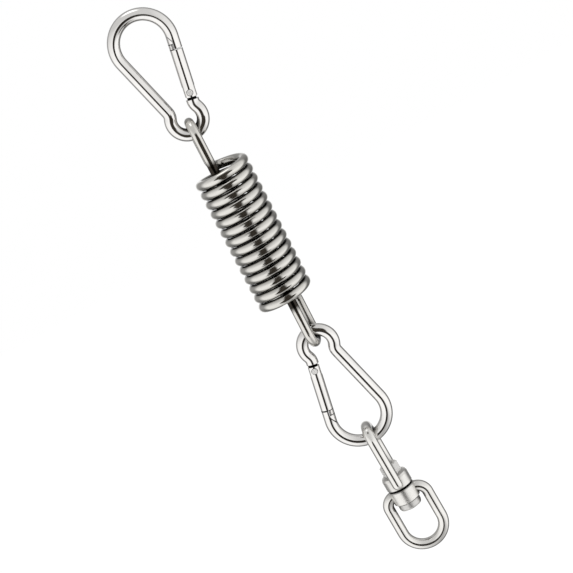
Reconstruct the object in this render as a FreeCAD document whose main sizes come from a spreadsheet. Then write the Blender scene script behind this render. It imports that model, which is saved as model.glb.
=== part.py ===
import FreeCAD, Part

import math
import os
import re

import Sketcher

# A hanging chain of stainless hardware: a snap hook, a coil spring, a second
# snap hook upside down and a swivel eye with its bow. The chain hangs along -Z
# and both hooks lie in the XZ plane. The origin is the seat inside the top arc
# of the upper hook. Lengths are in millimetres, angles in degrees.

SIZES = [
    # Snap hooks: a bent round bar with a big and a small end.
    ("bar_diameter", 7.5),
    ("big_radius", 16.7),
    ("small_radius", 9.3),
    ("end_spacing", 48.2),
    ("spine_angle", 13.2),
    ("gate_angle", 12.3),
    ("spine_neck_radius", 6.0),
    ("gate_neck_radius", 6.0),
    # Gate: hinge, nose joint and tip, measured along the gate's own line.
    ("rivet_drop", 33.2),
    ("rivet_diameter", 3.4),
    ("rivet_dome", 0.2),
    ("tail_length", 2.7),
    ("tail_round", 2.0),
    ("shoulder_gap", 1.3),
    ("joint_drop", 7.8),
    ("joint_gap", 0.6),
    ("barb_inset", 0.4),
    ("tip_gap", 0.35),
    ("catch_inner_drop", -1.9),
    ("catch_inner_depth", 3.8),
    ("catch_drop", 3.0),
    ("neck_length", 3.4),
    ("neck_width", 6.4),
    # Hinge tongue of the hook and the fork of the gate around it.
    ("tongue_width", 3.0),
    ("tongue_half_depth", 2.6),
    ("tongue_top", 2.6),
    ("tongue_round", 0.8),
    ("tongue_root", 1.5),
    ("fork_gap", 0.25),
    ("slot_top", 3.7),
    ("running_gap", 0.06),
    # Plunger and spring in the gate's bore.
    ("gate_bore", 2.8),
    ("gate_bore_top", 21.0),
    ("plunger_length", 6.0),
    ("plunger_gap", 0.1),
    ("plunger_round", 0.3),
    ("gate_spring_wire", 0.4),
    ("gate_spring_turns", 8),
    ("gate_spring_gap", 0.05),
    # Main spring: round wire, right-hand, with a twisted loop at each end.
    ("spring_wire", 5.6),
    ("coil_diameter", 34.5),
    ("coil_pitch", 6.1),
    ("coil_turns", 14),
    ("loop_reach", 73.5),
    ("loop_radius", 8.3),
    ("loop_offset", 3.7),
    ("loop_twist", 8.7),
    ("lead_angle", 8.0),
    ("bend_rise", 6.5),
    ("tail_depth", 7.0),
    # Space left where two bars cross and pull on each other.
    ("link_gap", 0.3),
    # Swivel eye: a bar loop standing on a round collar.
    ("eye_wire", 6.4),
    ("eye_radius", 9.0),
    ("eye_height", 36.4),
    ("collar_diameter", 16.6),
    ("collar_height", 8.7),
    ("collar_shoulder", 2.0),
    ("collar_edge", 0.6),
    ("eye_leg_lap", 4.6),
    # Swivel bow: a round hub with a D of round bar.
    ("swivel_gap", 0.7),
    ("hub_diameter", 16.8),
    ("hub_height", 9.4),
    ("hub_edge", 0.8),
    ("bow_wire", 6.8),
    ("bow_width", 32.4),
    ("bow_length", 43.2),
    ("bow_corner", 6.6),
    ("bow_drop", 0.3),
    # Swivel bolt and its nut.
    ("bolt_diameter", 6.0),
    ("bolt_head_diameter", 14.2),
    ("bolt_head_height", 4.4),
    ("bolt_head_round", 1.4),
    ("bolt_end", 1.2),
    ("bolt_point", 0.6),
    ("bore_gap", 0.08),
    ("head_gap", 0.15),
    ("nut_flats", 10.0),
    ("nut_height", 6.4),
    ("nut_chamfer", 0.9),
]

doc = FreeCAD.newDocument("hammock_hook")
sheet = doc.addObject("Spreadsheet::Sheet", "Sizes")
for row, (alias, number) in enumerate(SIZES, start=1):
    sheet.set("A%d" % row, alias)
    sheet.set("B%d" % row, str(number))
    sheet.setAlias("B%d" % row, alias)
doc.recompute()
ALIASES = {alias for alias, number in SIZES}
WORD = re.compile(r"[A-Za-z_]\w*")
ORIGIN = FreeCAD.Vector(0, 0, 0)
Y_AXIS = FreeCAD.Vector(0, 1, 0)
Z_AXIS = FreeCAD.Vector(0, 0, 1)

# The least volume in mm3 that a cut has to take away, and the share by which a
# swept wire's volume may differ from its length times its section.
LEAST_CUT = 0.01
WIRE_TOLERANCE = 0.01


def linked(formula):
    """A formula in the sheet's names, as another object has to write it."""
    return WORD.sub(lambda m: "Sizes." + m.group() if m.group() in ALIASES else m.group(), formula)


def value(formula):
    """The number that a formula in the sheet's names has now."""
    number = sheet.evalExpression(formula)
    return float(getattr(number, "Value", number))


def bind(item, field, formula):
    item.setExpression(field, linked(formula))


# Heights along the chain, each worked out from the one above it.
BIG_CENTRE = "-(big_radius - bar_diameter / 2)"
SMALL_CENTRE = "(" + BIG_CENTRE + " - end_spacing)"
UPPER_BAR = "(" + SMALL_CENTRE + " - small_radius)"
CROWN_RISE = "(bar_diameter / 2 + spring_wire / 2 + link_gap)"
HALF_SPRING = "sqrt(loop_reach ^ 2 + loop_offset ^ 2)"
SPRING_CENTRE = "(" + UPPER_BAR + " + " + CROWN_RISE + " - " + HALF_SPRING + ")"
LOWER_BAR = "(" + SPRING_CENTRE + " - " + HALF_SPRING + " + " + CROWN_RISE + ")"
LOWER_BIG_CENTRE = "(" + LOWER_BAR + " - small_radius - end_spacing)"
LOWER_SEAT_BAR = "(" + LOWER_BIG_CENTRE + " - big_radius)"
EYE_TOP = "(" + LOWER_SEAT_BAR + " + bar_diameter / 2 + link_gap + eye_wire)"
COLLAR_BASE = "(" + EYE_TOP + " - eye_height - collar_height)"

# The gate's line touches the big arc here, in the hook's own frame.
GATE_TOUCH_X = "big_radius * cos(gate_angle)"
GATE_TOUCH_Z = "-big_radius * sin(gate_angle)"
RIVET_X = "(" + GATE_TOUCH_X + " - rivet_drop * sin(gate_angle))"
RIVET_Z = "(" + GATE_TOUCH_Z + " - rivet_drop * cos(gate_angle))"

# How steeply the nose's catch and the gate's tip rise towards the inside.
CATCH_SLOPE = "((catch_drop - catch_inner_drop) / (catch_inner_depth - barb_inset))"


def place(item, x="0", z="0", angle="0"):
    """Puts an object at x, z and turns it about the Y direction."""
    item.Placement = FreeCAD.Placement(
        FreeCAD.Vector(value(x), 0, value(z)), FreeCAD.Rotation(Y_AXIS, value(angle)))
    bind(item, "Placement.Base.x", x)
    bind(item, "Placement.Base.z", z)
    bind(item, "Placement.Rotation.Angle", angle)


def new_body(label):
    body = doc.addObject("PartDesign::Body", label)
    body.Label = label
    return body


def new_sketch(body, name, role, x="0", y="0", depth="0", angle="0"):
    """A sketch on one of the body's own planes, moved and turned in that plane."""
    sketch = body.newObject("Sketcher::SketchObject", name)
    plane = [item for item in body.Origin.OriginFeatures if item.Role == role][0]
    sketch.AttachmentSupport = [(plane, "")]
    sketch.MapMode = "FlatFace"
    sketch.AttachmentOffset = FreeCAD.Placement(
        FreeCAD.Vector(value(x), value(y), value(depth)), FreeCAD.Rotation(Z_AXIS, value(angle)))
    bind(sketch, "AttachmentOffset.Base.x", x)
    bind(sketch, "AttachmentOffset.Base.y", y)
    bind(sketch, "AttachmentOffset.Base.z", depth)
    bind(sketch, "AttachmentOffset.Rotation.Angle", angle)
    return sketch


def tie(sketch, kind, *where, formula):
    """A dimension of a sketch that follows a formula of the sheet."""
    index = sketch.addConstraint(Sketcher.Constraint(kind, *where, value(formula)))
    bind(sketch, "Constraints[%d]" % index, formula)


def pin(sketch, geometry, end, x, y):
    """Holds a point of a sketch at x, y; on an axis it is held to the axis."""
    for kind, axis, formula in (("DistanceX", -2, x), ("DistanceY", -1, y)):
        if formula == "0":
            sketch.addConstraint(Sketcher.Constraint("PointOnObject", geometry, end, axis))
        else:
            tie(sketch, kind, -1, 1, geometry, end, formula=formula)


def polygon(sketch, corners):
    """A closed outline of straight sides through corners given as formulas."""
    points = [FreeCAD.Vector(value(x), value(y), 0) for x, y in corners]
    count = len(points)
    for i in range(count):
        sketch.addGeometry(Part.LineSegment(points[i], points[(i + 1) % count]), False)
    for i in range(count):
        sketch.addConstraint(Sketcher.Constraint("Coincident", i, 2, (i + 1) % count, 1))
        pin(sketch, i, 1, *corners[i])


def circle(sketch, x, y, radius):
    centre = FreeCAD.Vector(value(x), value(y), 0)
    index = sketch.addGeometry(Part.Circle(centre, Z_AXIS, value(radius)), False)
    pin(sketch, index, 3, x, y)
    tie(sketch, "Radius", index, formula=radius)


def cut_through(body, sketch, name):
    """Cuts a sketch right through the body, both ways, and checks that it cut."""
    doc.recompute()
    before = body.Shape.Volume
    pocket = body.newObject("PartDesign::Pocket", name)
    pocket.Profile = sketch
    pocket.Type = "ThroughAll"
    pocket.Midplane = True
    doc.recompute()
    if body.Shape.Volume > before - LEAST_CUT:
        raise RuntimeError("%s cuts nothing from %s" % (name, body.Label))
    return pocket


def arc(centre, radius, first, last):
    """An arc that turns anticlockwise from its first point to its last."""
    angles = [math.atan2(point.y - centre.y, point.x - centre.x) for point in (first, last)]
    if angles[1] <= angles[0]:
        angles[1] += 2 * math.pi
    return Part.ArcOfCircle(Part.Circle(centre, Z_AXIS, radius), *angles)


def bent_bar_path(sketch):
    """Centre line of the hook's bar, from the nose round to the hinge shoulder."""
    big, small, spacing = value("big_radius"), value("small_radius"), value("end_spacing")
    spine, gate = math.radians(value("spine_angle")), math.radians(value("gate_angle"))
    spine_neck, gate_neck = value("spine_neck_radius"), value("gate_neck_radius")
    foot = FreeCAD.Vector(0, -spacing, 0)

    gate_out = FreeCAD.Vector(math.cos(gate), -math.sin(gate), 0)
    gate_up = FreeCAD.Vector(math.sin(gate), math.cos(gate), 0)
    gate_touch = gate_out * big
    nose = gate_touch - gate_up * value("joint_drop - joint_gap / 2")
    shoulder = gate_touch - gate_up * value("rivet_drop + tail_length + shoulder_gap")
    gate_side = big - spacing * math.sin(gate) + gate_neck
    gate_rise = math.sqrt((small + gate_neck) ** 2 - gate_side ** 2)
    gate_bend = foot + gate_out * gate_side + gate_up * gate_rise
    gate_end = gate_bend - gate_out * gate_neck
    gate_meet = foot + (gate_bend - foot) * (small / (small + gate_neck))

    spine_out = FreeCAD.Vector(-math.cos(spine), -math.sin(spine), 0)
    spine_up = FreeCAD.Vector(-math.sin(spine), math.cos(spine), 0)
    spine_touch = spine_out * big
    spine_side = big - spacing * math.sin(spine) + spine_neck
    spine_rise = math.sqrt((small + spine_neck) ** 2 - spine_side ** 2)
    spine_bend = foot + spine_out * spine_side + spine_up * spine_rise
    spine_end = spine_bend - spine_out * spine_neck
    spine_meet = foot + (spine_bend - foot) * (small / (small + spine_neck))

    nose_line = sketch.addGeometry(Part.LineSegment(nose, gate_touch), False)
    big_arc = sketch.addGeometry(arc(ORIGIN, big, gate_touch, spine_touch), False)
    spine_line = sketch.addGeometry(Part.LineSegment(spine_touch, spine_end), False)
    spine_arc = sketch.addGeometry(arc(spine_bend, spine_neck, spine_meet, spine_end), False)
    small_arc = sketch.addGeometry(arc(foot, small, spine_meet, gate_meet), False)
    gate_arc = sketch.addGeometry(arc(gate_bend, gate_neck, gate_end, gate_meet), False)
    gate_line = sketch.addGeometry(Part.LineSegment(gate_end, shoulder), False)

    joints = [
        (nose_line, 2, big_arc, 1), (big_arc, 2, spine_line, 1), (spine_line, 2, spine_arc, 2),
        (spine_arc, 1, small_arc, 1), (small_arc, 2, gate_arc, 2), (gate_arc, 1, gate_line, 1),
    ]
    for joint in joints:
        sketch.addConstraint(Sketcher.Constraint("Tangent", *joint))
    sketch.addConstraint(Sketcher.Constraint("Coincident", big_arc, 3, -1, 1))
    pin(sketch, small_arc, 3, "0", "-end_spacing")
    tie(sketch, "Radius", big_arc, formula="big_radius")
    tie(sketch, "Radius", small_arc, formula="small_radius")
    tie(sketch, "Radius", spine_arc, formula="spine_neck_radius")
    tie(sketch, "Radius", gate_arc, formula="gate_neck_radius")
    tie(sketch, "DistanceX", -1, 1, big_arc, 1, formula=GATE_TOUCH_X)
    tie(sketch, "DistanceX", -1, 1, big_arc, 2, formula="-big_radius * cos(spine_angle)")
    tie(sketch, "Distance", nose_line, 1, nose_line, 2, formula="joint_drop - joint_gap / 2")
    shoulder_drop = "(rivet_drop + tail_length + shoulder_gap)"
    pin(sketch, gate_line, 2,
        GATE_TOUCH_X + " - " + shoulder_drop + " * sin(gate_angle)",
        GATE_TOUCH_Z + " - " + shoulder_drop + " * cos(gate_angle)")
    sketch.addConstraint(Sketcher.Constraint("Parallel", nose_line, gate_line))


def make_hook(label, z, angle):
    """The bent bar of a snap hook with its latch recess and hinge tongue."""
    body = new_body(label)
    path = new_sketch(body, label + "_path", "XZ_Plane")
    bent_bar_path(path)

    # The section is drawn where the path starts, at the nose.
    section = new_sketch(body, label + "_section", "XY_Plane")
    nose_drop = "(joint_drop - joint_gap / 2)"
    section.AttachmentOffset = FreeCAD.Placement(ORIGIN, FreeCAD.Rotation(Y_AXIS, value("gate_angle")))
    bind(section, "AttachmentOffset.Base.x", GATE_TOUCH_X + " - " + nose_drop + " * sin(gate_angle)")
    bind(section, "AttachmentOffset.Base.z", GATE_TOUCH_Z + " - " + nose_drop + " * cos(gate_angle)")
    bind(section, "AttachmentOffset.Rotation.Angle", "gate_angle")
    circle(section, "0", "0", "bar_diameter / 2")
    doc.recompute()
    pipe = body.newObject("PartDesign::AdditivePipe", label + "_bar")
    pipe.Profile = section
    pipe.Spine = path

    # The inner half of the nose is cut away up to a slanted catch.
    recess = new_sketch(body, label + "_catch", "XZ_Plane", GATE_TOUCH_X, GATE_TOUCH_Z, "0", "-gate_angle")
    polygon(recess, [
        ("-barb_inset", "-catch_drop"),
        ("-barb_inset", "-joint_drop - bar_diameter"),
        ("-bar_diameter", "-joint_drop - bar_diameter"),
        ("-bar_diameter", "-catch_inner_drop + (bar_diameter - catch_inner_depth) * " + CATCH_SLOPE),
    ])
    cut_through(body, recess, label + "_recess")

    # The hinge tongue stands on the shoulder and carries the rivet.
    outline = new_sketch(body, label + "_tongue_outline", "XZ_Plane", RIVET_X, RIVET_Z, "0", "-gate_angle")
    rounded_tongue(outline)
    tongue = body.newObject("PartDesign::Pad", label + "_tongue")
    tongue.Profile = outline
    tongue.Midplane = True
    bind(tongue, "Length", "tongue_width")
    eye = new_sketch(body, label + "_rivet_circle", "XZ_Plane", RIVET_X, RIVET_Z)
    circle(eye, "0", "0", "rivet_diameter / 2 + running_gap")
    cut_through(body, eye, label + "_rivet_hole")
    place(body, z=z, angle=angle)
    return body


def rounded_tongue(sketch):
    """A straight tongue whose two top corners are rounded."""
    half, top, rounding = value("tongue_half_depth"), value("tongue_top"), value("tongue_round")
    root = value("-tail_length - shoulder_gap - tongue_root")
    corners = [
        FreeCAD.Vector(-half, root, 0), FreeCAD.Vector(half, root, 0),
        FreeCAD.Vector(half, top - rounding, 0), FreeCAD.Vector(half - rounding, top, 0),
        FreeCAD.Vector(rounding - half, top, 0), FreeCAD.Vector(-half, top - rounding, 0),
    ]
    right_centre = FreeCAD.Vector(half - rounding, top - rounding, 0)
    left_centre = FreeCAD.Vector(rounding - half, top - rounding, 0)
    shapes = [
        Part.LineSegment(corners[0], corners[1]),
        Part.LineSegment(corners[1], corners[2]),
        arc(right_centre, rounding, corners[2], corners[3]),
        Part.LineSegment(corners[3], corners[4]),
        arc(left_centre, rounding, corners[4], corners[5]),
        Part.LineSegment(corners[5], corners[0]),
    ]
    for shape in shapes:
        sketch.addGeometry(shape, False)
    for first, second in ((1, 2), (2, 3), (3, 4), (4, 5)):
        sketch.addConstraint(Sketcher.Constraint("Tangent", first, 2, second, 1))
    sketch.addConstraint(Sketcher.Constraint("Coincident", 5, 2, 0, 1))
    sketch.addConstraint(Sketcher.Constraint("Coincident", 0, 2, 1, 1))
    pin(sketch, 0, 1, "-tongue_half_depth", "-tail_length - shoulder_gap - tongue_root")
    pin(sketch, 0, 2, "tongue_half_depth", "-tail_length - shoulder_gap - tongue_root")
    tie(sketch, "Radius", 2, formula="tongue_round")
    tie(sketch, "Radius", 4, formula="tongue_round")
    tie(sketch, "DistanceY", -1, 1, 3, 1, formula="tongue_top")


def make_gate(label, x, z, angle):
    """A gate in its own frame: the rivet at the origin, the tip up, outside +X."""
    body = new_body(label)
    base = new_sketch(body, label + "_section", "XY_Plane", depth="-tail_length")
    circle(base, "0", "0", "bar_diameter / 2")
    rod = body.newObject("PartDesign::Pad", label + "_bar")
    rod.Profile = base
    bind(rod, "Length", "tail_length + rivet_drop - catch_inner_drop")

    # Beyond the nose joint only the inner part stays, with a slanted tip.
    joint = "(rivet_drop - joint_drop - joint_gap / 2)"
    step = new_sketch(body, label + "_step_outline", "XZ_Plane")
    polygon(step, [
        ("-barb_inset - tip_gap", joint),
        ("bar_diameter", joint),
        ("bar_diameter", "rivet_drop + bar_diameter"),
        ("-barb_inset - tip_gap", "rivet_drop + bar_diameter"),
    ])
    cut_through(body, step, label + "_step")
    clearance = "tip_gap * sqrt(1 + " + CATCH_SLOPE + " ^ 2)"
    tip = new_sketch(body, label + "_tip_outline", "XZ_Plane")
    polygon(tip, [
        ("0", "rivet_drop - catch_drop - barb_inset * " + CATCH_SLOPE + " - " + clearance),
        ("0", "rivet_drop + 2 * bar_diameter"),
        ("-bar_diameter", "rivet_drop + 2 * bar_diameter"),
        ("-bar_diameter",
         "rivet_drop - catch_drop + (bar_diameter - barb_inset) * " + CATCH_SLOPE + " - " + clearance),
    ])
    cut_through(body, tip, label + "_tip")

    # Two flats thin the neck between the bar and the head at the tip.
    for side, sign in (("front", "-"), ("back", "")):
        flat = new_sketch(body, label + "_" + side + "_outline", "YZ_Plane")
        polygon(flat, [
            (sign + "neck_width / 2", joint),
            (sign + "bar_diameter", joint),
            (sign + "bar_diameter", joint + " + neck_length"),
            (sign + "neck_width / 2", joint + " + neck_length"),
        ])
        cut_through(body, flat, label + "_" + side + "_flat")

    # The tail is rounded inside so that it clears the shoulder as it swings.
    corner = new_sketch(body, label + "_tail_outline", "XZ_Plane")
    rounded_corner(corner)
    cut_through(body, corner, label + "_tail")

    slot = new_sketch(body, label + "_slot_outline", "YZ_Plane")
    half_slot = "(tongue_width / 2 + fork_gap)"
    polygon(slot, [
        ("-" + half_slot, "-bar_diameter"), (half_slot, "-bar_diameter"),
        (half_slot, "slot_top"), ("-" + half_slot, "slot_top"),
    ])
    cut_through(body, slot, label + "_slot")
    hole = new_sketch(body, label + "_rivet_circle", "XZ_Plane")
    circle(hole, "0", "0", "rivet_diameter / 2")
    cut_through(body, hole, label + "_rivet_hole")
    mouth = new_sketch(body, label + "_bore_circle", "XY_Plane")
    circle(mouth, "0", "0", "gate_bore / 2")
    doc.recompute()
    before = body.Shape.Volume
    bore = body.newObject("PartDesign::Pocket", label + "_bore")
    bore.Profile = mouth
    bore.Reversed = True
    bind(bore, "Length", "gate_bore_top")
    doc.recompute()
    if body.Shape.Volume > before - LEAST_CUT:
        raise RuntimeError("the bore of %s cuts nothing" % label)
    place(body, x, z, angle)
    return body


def rounded_corner(sketch):
    """The waste outside a quarter round at the tail's inner corner."""
    rounding, half, tail = value("tail_round"), value("bar_diameter / 2"), value("tail_length")
    side = FreeCAD.Vector(-half, rounding - tail, 0)
    base = FreeCAD.Vector(rounding - half, -tail, 0)
    outer = FreeCAD.Vector(-half - rounding, -tail - rounding, 0)
    low = FreeCAD.Vector(base.x, outer.y, 0)
    high = FreeCAD.Vector(outer.x, side.y, 0)
    centre = FreeCAD.Vector(base.x, side.y, 0)
    shapes = [
        arc(centre, rounding, side, base),
        Part.LineSegment(base, low),
        Part.LineSegment(low, outer),
        Part.LineSegment(outer, high),
        Part.LineSegment(high, side),
    ]
    for shape in shapes:
        sketch.addGeometry(shape, False)
    for i in range(len(shapes)):
        sketch.addConstraint(Sketcher.Constraint("Coincident", i, 2, (i + 1) % len(shapes), 1))
    pin(sketch, 0, 1, "-bar_diameter / 2", "tail_round - tail_length")
    pin(sketch, 0, 2, "tail_round - bar_diameter / 2", "-tail_length")
    pin(sketch, 2, 1, "tail_round - bar_diameter / 2", "-tail_length - tail_round")
    pin(sketch, 2, 2, "-bar_diameter / 2 - tail_round", "-tail_length - tail_round")
    pin(sketch, 3, 2, "-bar_diameter / 2 - tail_round", "tail_round - tail_length")
    tie(sketch, "Radius", 0, formula="tail_round")


def make_turned(label, corners, x="0", z="0", angle="0", plane="XZ_Plane"):
    """A turned piece: an outline spun about the upright axis of its sketch."""
    body = new_body(label)
    profile = new_sketch(body, label + "_profile", plane)
    polygon(profile, corners)
    turned = body.newObject("PartDesign::Revolution", label + "_turned")
    turned.Profile = profile
    turned.ReferenceAxis = (profile, ["V_Axis"])
    turned.Angle = 360
    doc.recompute()
    place(body, x, z, angle)
    return body


def make_rivet(label, x, z, angle):
    """A rivet along Y whose two ends are peened to low domes."""
    return make_turned(label, [
        ("0", "-bar_diameter / 2 - rivet_dome"),
        ("rivet_diameter / 2 - rivet_dome", "-bar_diameter / 2 - rivet_dome"),
        ("rivet_diameter / 2", "-bar_diameter / 2"),
        ("rivet_diameter / 2", "bar_diameter / 2"),
        ("rivet_diameter / 2 - rivet_dome", "bar_diameter / 2 + rivet_dome"),
        ("0", "bar_diameter / 2 + rivet_dome"),
    ], x, z, angle, "XY_Plane")


def make_plunger(label, x, z, angle):
    """The plunger that presses on the flat top of the tongue."""
    radius = "(gate_bore / 2 - running_gap)"
    foot = "(tongue_top + plunger_gap)"
    return make_turned(label, [
        ("0", foot),
        (radius + " - plunger_round", foot),
        (radius, foot + " + plunger_round"),
        (radius, foot + " + plunger_length - plunger_round"),
        (radius + " - plunger_round", foot + " + plunger_length"),
        ("0", foot + " + plunger_length"),
    ], x, z, angle)


def helix_point(radius, pitch, angle):
    """A point of a right-hand helix; height 0 is at 90 degrees."""
    turn = math.radians(angle)
    return FreeCAD.Vector(radius * math.cos(turn), radius * math.sin(turn), pitch * (angle - 90) / 360)


def helix_heading(radius, pitch, angle):
    turn = math.radians(angle)
    heading = FreeCAD.Vector(-radius * math.sin(turn), radius * math.cos(turn), pitch / (2 * math.pi))
    return heading.normalize()


def swept(path, section, diameter, frenet=False):
    """Sweeps a round section along a path and compares the volume."""
    solid = path.makePipeShell([section], True, frenet)
    expected = path.Length * math.pi * (diameter / 2) ** 2
    if abs(solid.Volume - expected) > WIRE_TOLERANCE * expected:
        raise RuntimeError("a wire of %.0f mm came out with the wrong volume" % path.Length)
    return solid


def coil(radius, pitch, first, last, diameter, lift=0.0):
    """A round wire along a right-hand helix between two angles."""
    path = Part.Wire(Part.makeHelix(pitch, pitch * (last - first) / 360, radius).Edges)
    start = helix_point(radius, pitch, first) + Z_AXIS * lift
    path.rotate(ORIGIN, Z_AXIS, first)
    path.translate(Z_AXIS * start.z)
    section = Part.Circle(start, helix_heading(radius, pitch, first), diameter / 2).toShape()
    return swept(path, Part.Wire(section), diameter, frenet=True)


def lengthened(solid, curves, diameter):
    """Carries a wire on from its cut face at the curves' start, without a kink."""
    path = Part.Wire([curve.toShape() for curve in curves])
    start = curves[0].value(curves[0].FirstParameter)
    cut_face = min(solid.Faces, key=lambda face: face.CenterOfMass.distanceToPoint(start))
    return solid.fuse(swept(path, cut_face.OuterWire, diameter)).Solids[0]


def make_wire_piece(label, solid, x="0", z="0", angle="0"):
    piece = doc.addObject("Part::Feature", label)
    piece.Label = label
    piece.Shape = solid
    place(piece, x, z, angle)
    return piece


def make_gate_spring(label, x, z, angle):
    """The small compression spring between the plunger and the bore's end."""
    wire, turns = value("gate_spring_wire"), value("gate_spring_turns")
    radius = value("gate_bore / 2 - gate_spring_wire / 2 - gate_spring_gap")
    foot = value("tongue_top + plunger_gap + plunger_length + gate_spring_wire / 2 + gate_spring_gap")
    top = value("gate_bore_top - gate_spring_wire / 2 - gate_spring_gap")
    pitch = (top - foot) / turns
    solid = coil(radius, pitch, 90, 90 + 360 * turns, wire, foot)
    return make_wire_piece(label, solid, x, z, angle)


def make_spring():
    """The main spring: front leg, loop, rear leg and bend at each end of one coil."""
    wire = value("spring_wire")
    radius = value("(coil_diameter - spring_wire) / 2")
    pitch, turns = value("coil_pitch"), value("coil_turns")
    half_turns = 180 * turns
    lead = value("lead_angle")
    last = 90 + half_turns - lead

    # The loop's plane stands upright and is twisted about the coil's axis.
    twist = math.radians(value("loop_twist"))
    across = FreeCAD.Vector(-math.sin(twist), math.cos(twist), 0)
    loop_radius = value("loop_radius")
    middle = FreeCAD.Vector(value("-loop_offset"), 0, value("loop_reach - loop_radius"))
    rear_top = middle + across * loop_radius
    front_top = middle - across * loop_radius
    crown = middle + Z_AXIS * loop_radius

    coil_end = helix_point(radius, pitch, last)
    coil_heading = helix_heading(radius, pitch, last)
    rear_foot = FreeCAD.Vector(rear_top.x, rear_top.y, coil_end.z + value("bend_rise"))
    front_foot = FreeCAD.Vector(front_top.x, front_top.y, pitch * (turns - 1) / 2 - value("tail_depth"))
    reach = (rear_foot - coil_end).Length / 2
    points = [
        coil_end, coil_end + coil_heading * reach, rear_foot - Z_AXIS * reach,
        rear_foot, rear_top, crown, front_top, front_foot,
    ]

    # The lower end is the upper one turned half round the Y direction.
    solid = coil(radius, pitch, 180 - last, last, wire)
    for turn in (0, 180):
        turned = FreeCAD.Rotation(Y_AXIS, turn)
        ends = [turned.multVec(point) for point in points]
        bend = Part.BezierCurve()
        bend.setPoles(ends[:4])
        solid = lengthened(solid, [
            bend,
            Part.LineSegment(ends[3], ends[4]),
            Part.Arc(ends[4], ends[5], ends[6]),
            Part.LineSegment(ends[6], ends[7]),
        ], wire)
    lean = "atan(loop_offset / loop_reach)"
    return make_wire_piece("spring", solid, "0", SPRING_CENTRE, lean)


def make_swivel_eye():
    """A loop of round bar whose legs run down the sides of a round collar."""
    body = new_body("swivel_eye")
    profile = new_sketch(body, "collar_profile", "XZ_Plane")
    bore = "(bolt_diameter / 2 + bore_gap)"
    rounding = "collar_shoulder * (1 - sqrt(0.5))"
    polygon(profile, [
        (bore, "0"),
        ("collar_diameter / 2 - collar_edge", "0"),
        ("collar_diameter / 2", "collar_edge"),
        ("collar_diameter / 2", "collar_height - collar_shoulder"),
        ("collar_diameter / 2 - " + rounding, "collar_height - " + rounding),
        ("collar_diameter / 2 - collar_shoulder", "collar_height"),
        (bore, "collar_height"),
    ])
    collar = body.newObject("PartDesign::Revolution", "collar")
    collar.Profile = profile
    collar.ReferenceAxis = (profile, ["V_Axis"])
    collar.Angle = 360

    path = new_sketch(body, "loop_path", "YZ_Plane")
    radius, foot = value("eye_radius"), value("collar_height - eye_leg_lap")
    crown = value("collar_height + eye_height - eye_wire / 2 - eye_radius")
    right, left = FreeCAD.Vector(radius, crown, 0), FreeCAD.Vector(-radius, crown, 0)
    path.addGeometry(Part.LineSegment(FreeCAD.Vector(radius, foot, 0), right), False)
    path.addGeometry(arc(FreeCAD.Vector(0, crown, 0), radius, right, left), False)
    path.addGeometry(Part.LineSegment(left, FreeCAD.Vector(-radius, foot, 0)), False)
    path.addConstraint(Sketcher.Constraint("Tangent", 0, 2, 1, 1))
    path.addConstraint(Sketcher.Constraint("Tangent", 1, 2, 2, 1))
    pin(path, 0, 1, "eye_radius", "collar_height - eye_leg_lap")
    pin(path, 2, 2, "-eye_radius", "collar_height - eye_leg_lap")
    pin(path, 1, 3, "0", "collar_height + eye_height - eye_wire / 2 - eye_radius")
    section = new_sketch(body, "loop_section", "XY_Plane", depth="collar_height - eye_leg_lap")
    circle(section, "0", "eye_radius", "eye_wire / 2")
    doc.recompute()
    loop = body.newObject("PartDesign::AdditivePipe", "loop")
    loop.Profile = section
    loop.Spine = path
    doc.recompute()
    for side, sign in (("front", "-"), ("back", "")):
        end = body.newObject("PartDesign::AdditiveSphere", side + "_leg_end")
        bind(end, "Radius", "eye_wire / 2")
        bind(end, "Placement.Base.y", sign + "eye_radius")
        bind(end, "Placement.Base.z", "collar_height - eye_leg_lap")
    place(body, z=COLLAR_BASE)
    return body


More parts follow.
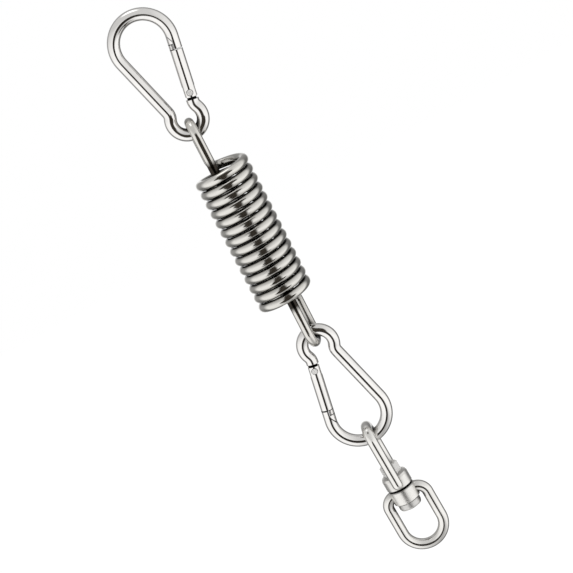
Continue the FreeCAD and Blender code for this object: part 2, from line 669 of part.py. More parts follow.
def make_swivel_bow():
    """The D-shaped bow of round bar with its hub, the hub's top at height 0."""
    body = new_body("swivel_bow")
    profile = new_sketch(body, "hub_profile", "XZ_Plane")
    bore = "(bolt_diameter / 2 + bore_gap)"
    polygon(profile, [
        (bore, "-hub_height"),
        ("hub_diameter / 2 - hub_edge", "-hub_height"),
        ("hub_diameter / 2", "hub_edge - hub_height"),
        ("hub_diameter / 2", "-hub_edge"),
        ("hub_diameter / 2 - hub_edge", "0"),
        (bore, "0"),
    ])
    hub = body.newObject("PartDesign::Revolution", "hub")
    hub.Profile = profile
    hub.ReferenceAxis = (profile, ["V_Axis"])
    hub.Angle = 360

    path = new_sketch(body, "bow_path", "XZ_Plane")
    start = value("hub_diameter / 4 + bolt_diameter / 4")
    half = value("(bow_width - bow_wire) / 2")
    corner = value("bow_corner")
    top = value("-bow_drop - bow_wire / 2")
    low = value("-bow_drop - bow_length + bow_wire / 2") + half
    ends = [FreeCAD.Vector(x, y, 0) for x, y in (
        (start, top), (half - corner, top), (half, top - corner), (half, low),
        (-half, low), (-half, top - corner), (corner - half, top), (-start, top))]
    shapes = [
        Part.LineSegment(ends[0], ends[1]),
        arc(FreeCAD.Vector(half - corner, top - corner, 0), corner, ends[2], ends[1]),
        Part.LineSegment(ends[2], ends[3]),
        arc(FreeCAD.Vector(0, low, 0), half, ends[4], ends[3]),
        Part.LineSegment(ends[4], ends[5]),
        arc(FreeCAD.Vector(corner - half, top - corner, 0), corner, ends[6], ends[5]),
        Part.LineSegment(ends[6], ends[7]),
    ]
    for shape in shapes:
        path.addGeometry(shape, False)
    joints = [(0, 2, 1, 2), (1, 1, 2, 1), (2, 2, 3, 2), (3, 1, 4, 1), (4, 2, 5, 2), (5, 1, 6, 1)]
    for joint in joints:
        path.addConstraint(Sketcher.Constraint("Tangent", *joint))
    pin(path, 0, 1, "hub_diameter / 4 + bolt_diameter / 4", "-bow_drop - bow_wire / 2")
    pin(path, 6, 2, "-hub_diameter / 4 - bolt_diameter / 4", "-bow_drop - bow_wire / 2")
    pin(path, 3, 3, "0", "-bow_drop - bow_length + bow_width / 2")
    path.addConstraint(Sketcher.Constraint("Horizontal", 0))
    path.addConstraint(Sketcher.Constraint("Vertical", 2))
    path.addConstraint(Sketcher.Constraint("Vertical", 4))
    tie(path, "Radius", 1, formula="bow_corner")
    tie(path, "Radius", 5, formula="bow_corner")
    tie(path, "Radius", 3, formula="(bow_width - bow_wire) / 2")
    section = new_sketch(body, "bow_section", "YZ_Plane", depth="hub_diameter / 4 + bolt_diameter / 4")
    circle(section, "0", "-bow_drop - bow_wire / 2", "bow_wire / 2")
    doc.recompute()
    bow = body.newObject("PartDesign::AdditivePipe", "bow")
    bow.Profile = section
    bow.Spine = path
    doc.recompute()
    place(body, z=COLLAR_BASE + " - swivel_gap")
    return body


def make_swivel_bolt():
    """The bolt: a low round head below the hub and a shank up through the nut."""
    end = "(collar_height + nut_height + bolt_end)"
    under = "(-swivel_gap - hub_height - head_gap)"
    rounding = "bolt_head_round * (1 - sqrt(0.5))"
    radius = "bolt_diameter / 2"
    head = "bolt_head_diameter / 2"
    return make_turned("swivel_bolt", [
        ("0", under + " - bolt_head_height"),
        (head + " - bolt_head_round", under + " - bolt_head_height"),
        (head + " - " + rounding, under + " - bolt_head_height + " + rounding),
        (head, under + " - bolt_head_height + bolt_head_round"),
        (head, under),
        (radius, under),
        (radius, end + " - bolt_point"),
        (radius + " - bolt_point", end),
        ("0", end),
    ], z=COLLAR_BASE)


def make_swivel_nut():
    """A hexagon nut with its corners turned off at the top and the bottom."""
    body = new_body("swivel_nut")
    outline = new_sketch(body, "nut_outline", "XY_Plane", depth="collar_height")
    corner = "(nut_flats / sqrt(3))"
    polygon(outline, [
        (corner, "0"),
        (corner + " / 2", "nut_flats / 2"),
        ("-" + corner + " / 2", "nut_flats / 2"),
        ("-" + corner, "0"),
        ("-" + corner + " / 2", "-nut_flats / 2"),
        (corner + " / 2", "-nut_flats / 2"),
    ])
    block = body.newObject("PartDesign::Pad", "nut_block")
    block.Profile = outline
    bind(block, "Length", "nut_height")
    hole = new_sketch(body, "nut_circle", "XY_Plane")
    circle(hole, "0", "0", "bolt_diameter / 2")
    cut_through(body, hole, "nut_hole")

    waste = new_sketch(body, "nut_corner_waste", "XZ_Plane")
    polygon(waste, [
        (corner + " - nut_chamfer", "collar_height + nut_height"),
        (corner + " + nut_chamfer", "collar_height + nut_height - nut_chamfer"),
        (corner + " + nut_chamfer", "collar_height + nut_height + nut_chamfer"),
        (corner + " - nut_chamfer", "collar_height + nut_height + nut_chamfer"),
    ])
    doc.recompute()
    before = body.Shape.Volume
    groove = body.newObject("PartDesign::Groove", "nut_corners")
    groove.Profile = waste
    groove.ReferenceAxis = (waste, ["V_Axis"])
    groove.Angle = 360
    doc.recompute()
    if body.Shape.Volume > before - LEAST_CUT:
        raise RuntimeError("the nut keeps its corners")
    place(body, z=COLLAR_BASE)
    return body


def make_snap_hook(name, z, turn):
    """One snap hook: the bar and the gate with its rivet, plunger and spring."""
    side = "cos(" + turn + ")"
    rivet_x = side + " * " + RIVET_X
    rivet_z = z + " + " + side + " * " + RIVET_Z
    gate_turn = turn + " + gate_angle"
    return [
        make_hook(name + "_hook", z, turn),
        make_gate(name + "_gate", rivet_x, rivet_z, gate_turn),
        make_rivet(name + "_gate_rivet", rivet_x, rivet_z, gate_turn),
        make_plunger(name + "_gate_plunger", rivet_x, rivet_z, gate_turn),
        make_gate_spring(name + "_gate_spring", rivet_x, rivet_z, gate_turn),
    ]


pieces = make_snap_hook("upper", BIG_CENTRE, "0")
pieces.append(make_spring())
pieces.extend(make_snap_hook("lower", LOWER_BIG_CENTRE, "180"))
pieces.append(make_swivel_eye())
pieces.append(make_swivel_bow())
pieces.append(make_swivel_bolt())
pieces.append(make_swivel_nut())
doc.recompute()

for item in doc.Objects:
    if {"Invalid", "Error"} & set(item.State):
        raise RuntimeError("%s failed: %s" % (item.Name, item.State))
for piece in pieces:
    if piece.Shape.isNull() or not piece.Shape.isValid() or len(piece.Shape.Solids) != 1:
        raise RuntimeError("%s is not one valid solid" % piece.Label)

os.makedirs("parts", exist_ok=True)
for piece in pieces:
    piece.Shape.exportStep("parts/%s.step" % piece.Label)
    box = piece.Shape.BoundBox
    print("%-20s %9.1f mm3  x %.1f..%.1f  y %.1f..%.1f  z %.1f..%.1f" % (
        piece.Label, piece.Shape.Volume, box.XMin, box.XMax, box.YMin, box.YMax, box.ZMin, box.ZMax))
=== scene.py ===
import math

import bmesh
import bpy
import numpy as np
from mathutils import Matrix, Vector


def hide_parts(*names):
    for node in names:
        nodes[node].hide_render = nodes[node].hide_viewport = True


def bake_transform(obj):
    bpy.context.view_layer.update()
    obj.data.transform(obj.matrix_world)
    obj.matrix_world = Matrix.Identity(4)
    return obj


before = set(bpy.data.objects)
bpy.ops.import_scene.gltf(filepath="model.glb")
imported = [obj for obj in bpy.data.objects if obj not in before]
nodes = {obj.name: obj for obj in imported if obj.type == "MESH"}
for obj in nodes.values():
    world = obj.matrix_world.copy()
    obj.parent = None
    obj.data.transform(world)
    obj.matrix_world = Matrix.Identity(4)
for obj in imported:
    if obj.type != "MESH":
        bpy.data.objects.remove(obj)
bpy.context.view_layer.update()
scene = bpy.context.scene
MM = 0.001

# Camera, in degrees and metres: about a metre off and a little above, rolled so that
# the chain runs from the upper left to the lower right. Half the frame and the focal
# length are in pixels.
VIEW_TURN = 7.0
VIEW_HEIGHT = 12.0
VIEW_ROLL = -30.16
VIEW_DISTANCE = 1.0
VIEW_TARGET = Vector((0.0011, 0.0, -0.1737))
HALF_FRAME = 286.5
FOCAL_PIXELS = 1730.2

# Gates, in the frame's millimetres and in degrees. The lower hook is the upper one
# turned half round the spring's centre. Distances along a gate start at its rivet.
SPRING_CENTRE = -137.193
RIVET_PLACE = (9.2441, -48.9457)
GATE_LEAN = 12.3
# Painted shade about each gate, as a middle and a half width: in the gap below it, in the
# ring round its rivet's head, and on the bar's skin, which the shaded seams at its tip show
# on. The gap's shade is painted as far to each side as the gate reaches.
HINGE_GAP = (-3.35, 0.8)
RIVET_RING = (1.82, 0.16)
BAR_SKIN = (4.2, 1.0)
GATE_REACH = 6.0
# Seams at each gate's tip, which get painted shade: the straight joint, the end of the neck,
# the slope of the slanted tip and where it crosses the gate's line, and how far out the joint
# starts.
TIP_JOINT = 25.4
NECK_END = 28.5
TIP_SLOPE = 1.441
TIP_CROSSING = 29.32
TIP_SPLIT = -0.575
SEAM_HALF = 0.26
JOINT_HALF = 0.46
# Milled flats of catches and tongues lie nearer than this to the hooks' middle plane,
# and their normals are straight across it, to within this cosine.
FLATS_WITHIN = 3.3
FLATS_COSINE = 0.99
# Swivel: radius of its turned faces, and as a middle and a half height, where they are and
# where the gaps above and below the hub, which get painted shade, are.
TURNED_RADIUS = 8.6
TURNED_FACES = (-313.5, 9.5)
UPPER_HUB_GAP = (-313.14, 0.65)
LOWER_HUB_GAP = (-322.9, 0.25)

# Tent, in the camera's axes: its radius in metres, and on a sphere of radius 1 the
# dark opening's centre and half width and height, the point that the cloths meet at
# and the place of the bright panel over the chain.
TENT_RADIUS = 2.5
TENT_OPENING = (0.075, -0.39, 0.0)
OPENING_HALVES = (0.32, 0.37)
CLOTHS_MEET = (0.05, -0.2, 0.0)
TOP_PANEL = (-0.48, 0.83, 0.28)
# Strength of the whole tent, and the tones of its opening, its panel and the cloth
# right behind the chain.
TENT_GLOW = 1.2
OPENING_TONE = (0.023, 0.020, 0.017)
PANEL_TONE = (1.5, 1.5, 1.5)
BACK_TONE = (0.84, 0.84, 0.84)
# Grey of the cloths beside and behind the chain by their bearing, in turns.
SIDE_CLOTHS = [
    (0.0, 0.86), (0.06, 0.98), (0.11, 1.0), (0.24, 0.95), (0.30, 0.62), (0.36, 0.42),
    (0.42, 0.65), (0.48, 0.97), (0.56, 1.0), (0.63, 0.84), (0.70, 0.72), (0.75, 0.62),
    (0.93, 0.62), (1.0, 0.86),
]
REAR_CLOTHS = [(0.0, 0.34), (0.1, 0.2), (0.4, 0.14), (0.65, 0.17), (0.8, 0.33), (1.0, 0.34)]
# Black card before the spring: its tone, and in metres how far in front it hangs, the
# width of its soft edge, and its height and half width from the top down.
CARD_TONE = (0.042, 0.036, 0.029)
CARD_AHEAD = 0.045
CARD_EDGE = 0.006
CARD_HALVES = [
    (-0.062, 0.017), (-0.073, 0.017), (-0.080, 0.028), (-0.095, 0.028), (-0.103, 0.008),
    (-0.174, 0.008), (-0.184, 0.026), (-0.198, 0.022), (-0.206, 0.013), (-0.212, 0.013),
]
# Floor, in metres, far enough below the hanging chain to stay out of the photograph's
# frame. Where it is seen, a share of it glows a little brighter than white.
FLOOR_HEIGHT = -0.8
FLOOR_HALF = 4.0
FLOOR_TONE = 0.9
FLOOR_GLOW = 1.12
FLOOR_GLOW_SHARE = 0.7
# Grey of the room as it lights the chain and the floor.
ROOM_TONE = 0.85

# Steel: its bumps, with depths in millimetres. The clouds, this many in a metre, vary
# its roughness and tone too. Only a wire has drawing lines, and their scale counts them
# in a metre along the wire and in a turn round it.
CLOUD_SCALE, CLOUD_DEPTH = 90.0, 0.12
GRAIN_STRENGTH, GRAIN_DEPTH = 0.08, 0.03
DRAWN_STRENGTH, DRAWN_DEPTH = 0.12, 0.05
DRAWN_SCALE = (60.0, 14.0, 1.0)
# Shares of the steel's tone that dark clouds and the painted shade in crevices keep, what satin
# faces add to its roughness, and the length in millimetres and the tone of the painted shade at
# a wire's ends.
CLOUD_SHARE = 0.86
PAINTED_SHADE_SHARE = 0.03
SATIN_ADDS = 0.19
SHADED_END_LENGTH = 18.0
END_SHADE_TONE = (0.035, 0.03, 0.025)

# Main spring, in millimetres and degrees, with the sizes of the CAD part.
WIRE = 5.6
COIL_RADIUS = 14.45
PITCH = 6.1
TURNS = 14
LEAD = 8.0
LOOP_REACH = 73.5
LOOP_RADIUS = 8.3
LOOP_OFFSET = 3.7
LOOP_TWIST = 8.7
BEND_RISE = 6.5
TAIL_DEPTH = 7.0
# How finely it is swept: sides of the wire, degrees of the coil for each ring, and the
# number of rings in the front leg, the arc, the rear leg and the bend.
RING_SIDES = 28
COIL_STEP = 6
LEG_STEPS, ARC_STEPS, REAR_STEPS, BEND_STEPS = 16, 36, 10, 24

turn, height, roll = math.radians(VIEW_TURN), math.radians(VIEW_HEIGHT), math.radians(VIEW_ROLL)
towards = Vector((
    math.sin(turn) * math.cos(height), -math.cos(turn) * math.cos(height), math.sin(height)))
level = Vector((math.cos(turn), math.sin(turn), 0.0))
upright = level.cross(-towards)
right = level * math.cos(roll) + upright * math.sin(roll)
above = upright * math.cos(roll) - level * math.sin(roll)
camera = bpy.data.objects.new("Camera", bpy.data.cameras.new("Camera"))
view_axes = Matrix((right, above, towards)).transposed().to_4x4()
camera.matrix_world = Matrix.Translation(VIEW_TARGET + towards * VIEW_DISTANCE) @ view_axes
camera.data.angle = 2 * math.atan(HALF_FRAME / FOCAL_PIXELS)
camera.data.clip_start = 0.01
camera.data.clip_end = 50.0
scene.collection.objects.link(camera)
scene.camera = camera
scene.view_settings.view_transform = "Standard"


class Nodes:
    """A short way to add and join shader nodes."""

    def __init__(self, tree):
        self.tree = tree
        tree.nodes.clear()

    def add(self, kind, inputs=None, **settings):
        node = self.tree.nodes.new(kind)
        for name, setting in settings.items():
            setattr(node, name, setting)
        for key, source in (inputs or {}).items():
            socket = node.inputs[key]
            if isinstance(source, bpy.types.NodeSocket):
                self.tree.links.new(source, socket)
            else:
                socket.default_value = source
        return node

    def math(self, operation, first, second=0.0, third=0.0, clamp=False):
        inputs = {0: first, 1: second, 2: third}
        node = self.add("ShaderNodeMath", inputs, operation=operation, use_clamp=clamp)
        return node.outputs[0]

    def split(self, vector):
        return self.add("ShaderNodeSeparateXYZ", {0: vector}).outputs

    def vector(self, operation, *vectors, result="Vector"):
        inputs = dict(enumerate(vectors))
        return self.add("ShaderNodeVectorMath", inputs, operation=operation).outputs[result]

    def length(self, first, second):
        squares = self.math("MULTIPLY_ADD", first, first, self.math("MULTIPLY", second, second))
        return self.math("SQRT", squares)

    def band(self, value, middle, half):
        """1 where a value in metres is in a band given in millimetres, and 0 elsewhere."""
        return self.math("COMPARE", value, middle * MM, half * MM)

    def noise(self, place, scale, detail, roughness):
        inputs = {"Vector": place, "Scale": scale, "Detail": detail, "Roughness": roughness}
        return self.add("ShaderNodeTexNoise", inputs).outputs["Fac"]

    def bump(self, height, strength, distance, below=None):
        inputs = {"Strength": strength, "Distance": distance, "Height": height}
        if below:
            inputs["Normal"] = below
        return self.add("ShaderNodeBump", inputs).outputs["Normal"]

    def emit(self, tone, strength=1.0):
        inputs = {"Color": tone, "Strength": strength}
        return self.add("ShaderNodeEmission", inputs).outputs[0]

    def mix(self, share, first, second):
        inputs = {"Factor": share}
        for key, tone in ((6, first), (7, second)):
            inputs[key] = tone if isinstance(tone, bpy.types.NodeSocket) else (*tone, 1.0)
        return self.add("ShaderNodeMix", inputs, data_type="RGBA").outputs[2]

    def ramp(self, source, stops):
        """A grey for each place between the stops, which are pairs of place and grey."""
        node = self.add("ShaderNodeValToRGB", {"Fac": source})
        ramp = node.color_ramp
        while len(ramp.elements) < len(stops):
            ramp.elements.new(0.5)
        for element, (place, grey) in zip(ramp.elements, stops):
            element.position = place
            element.color = (grey, grey, grey, 1.0)
        return node.outputs["Color"]


# World: plain white where it is seen, a little lower where it lights the scene.
world = bpy.data.worlds.new("Studio")
scene.world = world
world.use_nodes = True
w = Nodes(world.node_tree)
path = w.add("ShaderNodeLightPath").outputs
mirrored = w.math("MAXIMUM", path["Is Glossy Ray"], path["Is Transmission Ray"])
seen = w.math("MAXIMUM", path["Is Camera Ray"], mirrored)
room = w.add("ShaderNodeBackground", {"Color": (ROOM_TONE, ROOM_TONE, ROOM_TONE, 1.0)})
backdrop = w.add("ShaderNodeBackground", {"Color": (1.0, 1.0, 1.0, 1.0)})
mixed = w.add("ShaderNodeMixShader", {0: seen, 1: room.outputs[0], 2: backdrop.outputs[0]})
w.add("ShaderNodeOutputWorld", {"Surface": mixed.outputs[0]})


def reflector(name, mesh, place):
    """A piece of the studio that shows only in the polished metal."""
    screen = bpy.data.objects.new(name, mesh)
    screen.matrix_world = place
    scene.collection.objects.link(screen)
    for kind in ("camera", "diffuse", "transmission", "volume_scatter", "shadow"):
        setattr(screen, "visible_" + kind, False)
    paint = bpy.data.materials.new(name)
    paint.use_nodes = True
    mesh.materials.append(paint)
    return Nodes(paint.node_tree)


# Light tent: a round tent about the chain, with softboxes to the right and the lower
# left, a bright panel over the chain, grey cloth elsewhere and the dark opening that
# the camera looks through. Its own axes are the camera's at the photograph's place.
tent_mesh = bpy.data.meshes.new("Tent")
shell = bmesh.new()
bmesh.ops.create_icosphere(shell, subdivisions=5, radius=TENT_RADIUS)
shell.to_mesh(tent_mesh)
shell.free()
t = reflector("Tent", tent_mesh, Matrix.Translation(VIEW_TARGET) @ view_axes)
spot = t.vector("NORMALIZE", t.add("ShaderNodeTexCoord").outputs["Object"])
from_camera = t.math("DIVIDE", t.math("ARCCOSINE", t.split(spot)["Z"]), math.pi)
oval = t.add("ShaderNodeMapping", {
    "Vector": spot, "Location": TENT_OPENING, "Rotation": (0.0, 0.0, -roll),
    "Scale": (*OPENING_HALVES, 100.0)}, vector_type="TEXTURE")
from_opening = t.vector("LENGTH", oval.outputs["Vector"], result="Value")
off = t.split(t.vector("SUBTRACT", spot, CLOTHS_MEET))
bearing = t.math("MULTIPLY_ADD", t.math("ARCTAN2", off["Y"], off["X"]), 0.5 / math.pi, 0.5)
opening_edge = t.ramp(from_opening, [(0.8, 0.0), (1.0, 1.0)])
tone = t.mix(opening_edge, OPENING_TONE, t.ramp(bearing, SIDE_CLOTHS))
behind = t.ramp(from_camera, [(0.52, 0.0), (0.63, 1.0)])
tone = t.mix(behind, tone, t.ramp(bearing, REAR_CLOTHS))
from_panel = t.vector("DISTANCE", spot, TOP_PANEL, result="Value")
tone = t.mix(t.ramp(from_panel, [(0.2, 1.0), (0.31, 0.0)]), tone, PANEL_TONE)
tone = t.mix(t.ramp(from_camera, [(0.80, 0.0), (0.90, 1.0)]), tone, BACK_TONE)
t.add("ShaderNodeOutputMaterial", {"Surface": t.emit(tone, TENT_GLOW)})

# Black card with soft edges close in front of the spring, upright like it.
card_rows = [(CARD_HALVES[0][0] + CARD_EDGE, CARD_HALVES[0][1], 0.0)]
card_rows += [(z, half, 1.0) for z, half in CARD_HALVES]
card_rows += [(CARD_HALVES[-1][0] - CARD_EDGE, CARD_HALVES[-1][1], 0.0)]
corners, cover = [], []
for z, half, row_cover in card_rows:
    corners += [(x, 0, z) for x in (-half - CARD_EDGE, -half, half, half + CARD_EDGE)]
    cover += [0.0, row_cover, row_cover, 0.0]
starts = [4 * i + k for i in range(len(card_rows) - 1) for k in range(3)]
card_mesh = bpy.data.meshes.new("BlackCard")
card_mesh.from_pydata(corners, [], [(j, j + 1, j + 5, j + 4) for j in starts])
cover_layer = card_mesh.attributes.new("cover", "FLOAT", "POINT")
cover_layer.data.foreach_set("value", np.array(cover, np.float32))
card_place = Matrix.Rotation(turn, 4, "Z") @ Matrix.Translation((0, -CARD_AHEAD, 0))
c = reflector("BlackCard", card_mesh, card_place)
black = c.emit((*CARD_TONE, 1.0))
clear = c.add("ShaderNodeBsdfTransparent").outputs[0]
covered = c.add("ShaderNodeAttribute", attribute_name="cover").outputs["Fac"]
card = c.add("ShaderNodeMixShader", {0: covered, 1: clear, 2: black})
c.add("ShaderNodeOutputMaterial", {"Surface": card.outputs[0]})


def area_light(name, place, size, power):
    lamp = bpy.data.lights.new(name, "AREA")
    lamp.shape = "RECTANGLE"
    lamp.size, lamp.size_y = size
    lamp.energy = power
    holder = bpy.data.objects.new(name, lamp)
    holder.location = place
    holder.rotation_mode = "QUATERNION"
    holder.rotation_quaternion = (Vector(place) - VIEW_TARGET).to_track_quat("Z", "Y")
    scene.collection.objects.link(holder)
    holder.visible_glossy = False


area_light("LeftSoftbox", place=(-1.1, -0.7, 0.35), size=(0.9, 0.9), power=9.0)
area_light("RightSoftbox", place=(1.1, -0.6, 0.1), size=(0.9, 0.9), power=7.0)
area_light("TopSoftbox", place=(0.0, -0.2, 1.3), size=(1.2, 1.2), power=9.0)

floor_mesh = bpy.data.meshes.new("Floor")
floor_corners = [
    (-FLOOR_HALF, -FLOOR_HALF, FLOOR_HEIGHT), (FLOOR_HALF, -FLOOR_HALF, FLOOR_HEIGHT),
    (FLOOR_HALF, FLOOR_HALF, FLOOR_HEIGHT), (-FLOOR_HALF, FLOOR_HALF, FLOOR_HEIGHT),
]
floor_mesh.from_pydata(floor_corners, [], [(0, 1, 2, 3)])
floor = bpy.data.objects.new("Floor", floor_mesh)
scene.collection.objects.link(floor)
floor_paint = bpy.data.materials.new("PaleFloor")
floor_paint.use_nodes = True
f = Nodes(floor_paint.node_tree)
floor_path = f.add("ShaderNodeLightPath").outputs
floor_seen = f.math("MAXIMUM", floor_path["Is Camera Ray"], floor_path["Is Transmission Ray"])
glow = f.emit((1.0, 1.0, 1.0, 1.0), FLOOR_GLOW)
matt = f.add("ShaderNodeBsdfDiffuse", {"Color": (FLOOR_TONE, FLOOR_TONE, FLOOR_TONE, 1.0)})
glow_share = f.math("MULTIPLY", floor_seen, FLOOR_GLOW_SHARE)
floor_mix = f.add("ShaderNodeMixShader", {0: glow_share, 1: matt.outputs[0], 2: glow})
f.add("ShaderNodeOutputMaterial", {"Surface": floor_mix.outputs[0]})
floor.data.materials.append(floor_paint)
floor.visible_glossy = False


def painted_hinge_shade(n, place):
    """Painted shade under each gate, round its rivet head and in the seams at its tip."""
    offset = n.split(place)
    up = n.math("SUBTRACT", offset["Z"], SPRING_CENTRE * MM)
    turned_x = n.math("MULTIPLY", offset["X"], n.math("SIGN", up))
    across = n.math("SUBTRACT", turned_x, RIVET_PLACE[0] * MM)
    rivet_height = (RIVET_PLACE[1] - SPRING_CENTRE) * MM
    above_rivet = n.math("SUBTRACT", n.math("ABSOLUTE", up), rivet_height)
    lean = math.radians(GATE_LEAN)
    along = n.math("MULTIPLY", above_rivet, math.cos(lean))
    along = n.math("MULTIPLY_ADD", across, math.sin(lean), along)
    aside = n.math("MULTIPLY", above_rivet, -math.sin(lean))
    aside = n.math("MULTIPLY_ADD", across, math.cos(lean), aside)
    near_gate = n.math("LESS_THAN", n.math("ABSOLUTE", aside), GATE_REACH * MM)
    hinge = n.math("MULTIPLY", n.band(along, *HINGE_GAP), near_gate)
    outside = n.math("GREATER_THAN", aside, TIP_SPLIT * MM)
    joint = n.math("MULTIPLY", outside, n.band(along, TIP_JOINT, JOINT_HALF))
    slant = n.math("MULTIPLY_ADD", aside, TIP_SLOPE, along)
    slant = n.band(slant, TIP_CROSSING, SEAM_HALF * math.hypot(1, TIP_SLOPE))
    neck = n.band(along, TIP_JOINT, SEAM_HALF)
    neck = n.math("MAXIMUM", neck, n.band(along, NECK_END, SEAM_HALF))
    inside = n.math("SUBTRACT", 1.0, outside)
    tip = n.math("MULTIPLY", inside, n.math("MAXIMUM", slant, neck))
    on_skin = n.band(n.length(offset["Y"], aside), *BAR_SKIN)
    seams = n.math("MULTIPLY", n.math("MAXIMUM", joint, tip), on_skin)
    ring = n.band(n.length(across, above_rivet), *RIVET_RING)
    return n.math("MAXIMUM", n.math("MAXIMUM", hinge, seams), ring)


def milled_flats(n, place):
    """The flat faces of catch and tongue, which keep their milled finish."""
    facing = n.split(n.add("ShaderNodeTexCoord").outputs["Normal"])["Y"]
    flat = n.math("GREATER_THAN", n.math("ABSOLUTE", facing), FLATS_COSINE)
    depth = n.math("ABSOLUTE", n.split(place)["Y"])
    return n.math("MULTIPLY", flat, n.math("LESS_THAN", depth, FLATS_WITHIN * MM))


def swivel_band(n, place, *bands):
    """What of the swivel's round body lies in bands of height, each a middle and a half."""
    offset = n.split(place)
    within = n.math("LESS_THAN", n.length(offset["Y"], offset["X"]), TURNED_RADIUS * MM)
    rows = [n.band(offset["Z"], middle, half) for middle, half in bands]
    height = rows[0] if len(rows) == 1 else n.math("MAXIMUM", *rows)
    return n.math("MULTIPLY", height, within)


def painted_hub_gap_shade(n, place):
    """Painted shade in the gaps above and below the swivel's hub."""
    return swivel_band(n, place, UPPER_HUB_GAP, LOWER_HUB_GAP)


def turned_faces(n, place):
    """The round faces of the swivel's collar and hub, which keep their turned finish."""
    return swivel_band(n, place, TURNED_FACES)


def steel(name, tone, roughness, spread, grain, dent, crevice, open_at,
          wire=0.0, painted_shade=None, satin=None):
    """Stainless steel with uneven roughness, fine bump and painted shade in crevices.

    The roughness varies by spread, grain is the fine bump's scale and dent the strength
    of the cloudy one. Shade is painted on what surfaces within crevice metres hide, from
    dark to unshaded between the two shares of open_at. A wire, given by its length in
    metres, has drawing lines and painted shade at its ends. What the painted shade
    function covers is as dark as a crevice, and what satin covers is rougher.
    """
    paint = bpy.data.materials.new(name)
    paint.use_nodes = True
    n = Nodes(paint.node_tree)
    place = n.add("ShaderNodeTexCoord").outputs["Object"]
    cloud = n.noise(place, CLOUD_SCALE, detail=4.0, roughness=0.55)
    fine = n.noise(place, grain, detail=3.0, roughness=0.6)
    darker = tuple(channel * CLOUD_SHARE for channel in tone)
    # The tone of the painted shade in crevices and gaps.
    shade_tone = tuple(channel * PAINTED_SHADE_SHARE for channel in tone)
    colour = n.mix(n.math("MULTIPLY", cloud, 1.6, clamp=True), darker, tone)
    patchy = n.add("ShaderNodeMapRange", {
        "Value": cloud, "From Min": 0.3, "From Max": 0.7,
        "To Min": roughness - spread, "To Max": roughness + spread}).outputs["Result"]
    if satin:
        patchy = n.math("MULTIPLY_ADD", satin(n, place), SATIN_ADDS, patchy)
    normal = n.bump(cloud, dent, CLOUD_DEPTH * MM)
    normal = n.bump(fine, GRAIN_STRENGTH, GRAIN_DEPTH * MM, normal)
    # Painted shade in crevices, from ambient occlusion.
    hollow = n.add("ShaderNodeAmbientOcclusion", {"Distance": crevice}, samples=12)
    unshaded = n.ramp(hollow.outputs["AO"], [(open_at[0], 0.0), (open_at[1], 1.0)])
    colour = n.mix(unshaded, shade_tone, colour)
    # Painted shade in the gaps that the given function covers.
    if painted_shade:
        colour = n.mix(painted_shade(n, place), colour, shade_tone)
    if wire:
        unrolled = n.add("ShaderNodeUVMap", uv_map="UVMap").outputs["UV"]
        walked = n.split(unrolled)["X"]
        # Painted shade at both ends of a wire.
        from_end = n.math("MINIMUM", walked, n.math("SUBTRACT", wire, walked))
        end_shade = n.ramp(n.math("DIVIDE", from_end, SHADED_END_LENGTH * MM), [(0.8, 1.0), (1.0, 0.0)])
        colour = n.mix(end_shade, colour, END_SHADE_TONE)
        drawn = n.add("ShaderNodeMapping", {"Vector": unrolled, "Scale": DRAWN_SCALE})
        lines = n.noise(drawn.outputs["Vector"], 1.0, detail=4.0, roughness=0.7)
        normal = n.bump(lines, DRAWN_STRENGTH, DRAWN_DEPTH * MM, normal)
    shader = n.add("ShaderNodeBsdfPrincipled", {
        "Base Color": colour, "Metallic": 1.0, "Roughness": patchy, "Normal": normal})
    n.add("ShaderNodeOutputMaterial", {"Surface": shader.outputs["BSDF"]})
    return paint


def dress(paint, *names):
    for name in names:
        mesh = nodes[name].data
        mesh.materials.clear()
        mesh.materials.append(paint)


polished = steel(
    "PolishedBar", (0.815, 0.80, 0.78), roughness=0.085, spread=0.03, grain=2600.0, dent=0.10,
    crevice=0.0015, open_at=(0.04, 0.42), painted_shade=painted_hinge_shade, satin=milled_flats)
casting = steel(
    "PolishedCasting", (0.79, 0.775, 0.745), roughness=0.13, spread=0.04, grain=2200.0,
    dent=0.22, crevice=0.008, open_at=(0.2, 0.95), painted_shade=painted_hub_gap_shade, satin=turned_faces)
small = steel(
    "SmallSteel", (0.64, 0.63, 0.61), roughness=0.38, spread=0.05, grain=3000.0, dent=0.12,
    crevice=0.006, open_at=(0.2, 0.9))
satin_steel = steel(
    "SatinSteel", (0.92, 0.91, 0.89), roughness=0.62, spread=0.04, grain=3000.0, dent=0.1,
    crevice=0.0015, open_at=(0.04, 0.42))
dress(polished, "upper_hook", "upper_gate", "lower_hook", "lower_gate")
dress(casting, "swivel_eye", "swivel_bow")
dress(satin_steel, "upper_gate_rivet", "lower_gate_rivet", "swivel_nut")
dress(small, "upper_gate_plunger", "upper_gate_spring",
      "lower_gate_plunger", "lower_gate_spring", "swivel_bolt")


# Main spring, built again as one swept wire, with a share of the stretch worked out for
# each ring of the wire.
def helix(angle):
    turn = math.radians(angle)
    rise = PITCH * (angle - 90) / 360
    return Vector((COIL_RADIUS * math.cos(turn), COIL_RADIUS * math.sin(turn), rise))


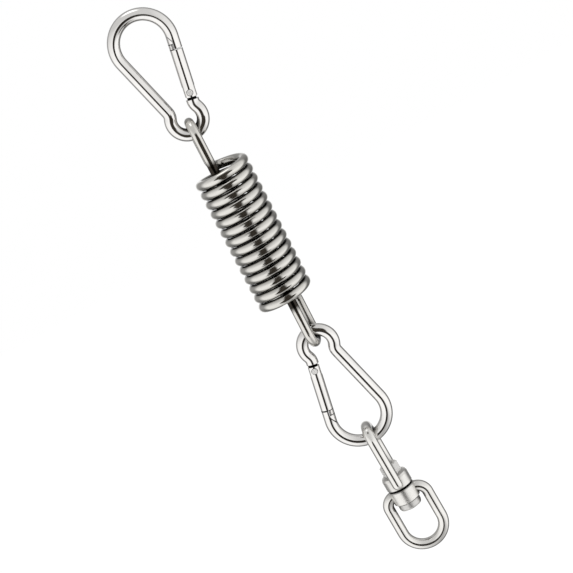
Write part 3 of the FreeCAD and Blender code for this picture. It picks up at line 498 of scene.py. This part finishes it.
def spring_end():
    """Centre line of the upper end, from the front leg's foot to the coil."""
    last = 90 + 180 * TURNS - LEAD
    twist = math.radians(LOOP_TWIST)
    across = Vector((-math.sin(twist), math.cos(twist), 0))
    middle = Vector((-LOOP_OFFSET, 0, LOOP_REACH - LOOP_RADIUS))
    start = helix(last)
    turn = math.radians(last)
    heading = Vector((
        -COIL_RADIUS * math.sin(turn), COIL_RADIUS * math.cos(turn), PITCH / (2 * math.pi)))
    rear_top, front_top = middle + across * LOOP_RADIUS, middle - across * LOOP_RADIUS
    rear_foot = Vector((rear_top.x, rear_top.y, start.z + BEND_RISE))
    front_foot = Vector((front_top.x, front_top.y, PITCH * (TURNS - 1) / 2 - TAIL_DEPTH))
    reach = (rear_foot - start).length / 2
    bend = [
        start, start + heading.normalized() * reach,
        rear_foot - Vector((0, 0, reach)), rear_foot,
    ]
    points = [front_foot.lerp(front_top, i / LEG_STEPS) for i in range(LEG_STEPS)]
    for i in range(ARC_STEPS + 1):
        swing = math.pi * i / ARC_STEPS
        lift = Vector((0, 0, LOOP_RADIUS * math.sin(swing)))
        points.append(middle - across * LOOP_RADIUS * math.cos(swing) + lift)
    points += [rear_top.lerp(rear_foot, i / REAR_STEPS) for i in range(1, REAR_STEPS)]
    for i in range(BEND_STEPS):
        t = 1 - i / BEND_STEPS
        shares = [math.comb(3, k) * t ** k * (1 - t) ** (3 - k) for k in range(4)]
        points.append(sum((corner * share for corner, share in zip(bend, shares)), Vector()))
    return points


def spring_line():
    """The whole wire's centre line and the share of the stretch at each point."""
    last = 90 + 180 * TURNS - LEAD
    steps = round((last - (180 - last)) / COIL_STEP)
    upper = spring_end()
    coil = [helix(last + (180 - 2 * last) * i / steps) for i in range(steps + 1)]
    lower = [Vector((-p.x, p.y, -p.z)) for p in reversed(upper)]
    shares = [0.0] * len(upper) + [i / steps for i in range(steps + 1)] + [1.0] * len(lower)
    lean = Matrix.Rotation(math.atan(LOOP_OFFSET / LOOP_REACH), 3, "Y")
    return [lean @ p + Vector((0, 0, SPRING_CENTRE)) for p in upper + coil + lower], shares


def swept_wire(name, line, shares, radius):
    """A round tube along a line, with its length and girth as UV in metres and turns."""
    count = len(line)
    tangents = [
        (line[min(i + 1, count - 1)] - line[max(i - 1, 0)]).normalized() for i in range(count)]
    side = tangents[0].orthogonal().normalized()
    corners, walked, weights = [], [0.0], []
    for i, centre in enumerate(line):
        if i:
            side = tangents[i - 1].rotation_difference(tangents[i]) @ side
            walked.append(walked[-1] + (centre - line[i - 1]).length * MM)
        side = (side - tangents[i] * side.dot(tangents[i])).normalized()
        other = tangents[i].cross(side)
        for k in range(RING_SIDES):
            turn = 2 * math.pi * k / RING_SIDES
            corner = centre + side * radius * math.cos(turn) + other * radius * math.sin(turn)
            corners.append(corner * MM)
            weights.append(shares[i])
    faces = [tuple(range(RING_SIDES - 1, -1, -1))]
    for i in range(count - 1):
        near, far = i * RING_SIDES, (i + 1) * RING_SIDES
        for k in range(RING_SIDES):
            step = (k + 1) % RING_SIDES
            faces.append((near + k, near + step, far + step, far + k))
    faces.append(tuple((count - 1) * RING_SIDES + k for k in range(RING_SIDES)))
    mesh = bpy.data.meshes.new(name)
    mesh.from_pydata(corners, [], faces)
    uv = mesh.uv_layers.new(name="UVMap")
    for face in mesh.polygons:
        face.use_smooth = face.loop_total == 4
        places = [mesh.loops[j].vertex_index for j in face.loop_indices]
        rings = [place % RING_SIDES for place in places]
        wraps = face.loop_total == 4 and max(rings) - min(rings) > 1
        for j, place, ring in zip(face.loop_indices, places, rings):
            girth = ring + RING_SIDES if wraps and ring == 0 else ring
            uv.data[j].uv = (walked[place // RING_SIDES], girth / RING_SIDES)
    piece = bpy.data.objects.new(name, mesh)
    scene.collection.objects.link(piece)
    return piece, weights


line, shares = spring_line()
spring, stretch = swept_wire("SpringCoil", line, shares, WIRE / 2)
wire_length = sum((b - a).length for a, b in zip(line, line[1:])) * MM
spring.data.materials.append(steel(
    "SpringWire", (0.69, 0.673, 0.635), roughness=0.13, spread=0.04, grain=2600.0, dent=0.08,
    crevice=0.02, open_at=(0.36, 0.92), wire=wire_length))
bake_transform(spring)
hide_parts("spring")

# Small springs in the gates: copies of the CAD solids, which take the CAD parts' place.
for side, hand in (("upper", 1), ("lower", -1)):
    coil = nodes[side + "_gate_spring"].data.copy()
    inner = bpy.data.objects.new(side.capitalize() + "GateSpring", coil)
    scene.collection.objects.link(inner)
    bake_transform(inner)
    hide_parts(side + "_gate_spring")
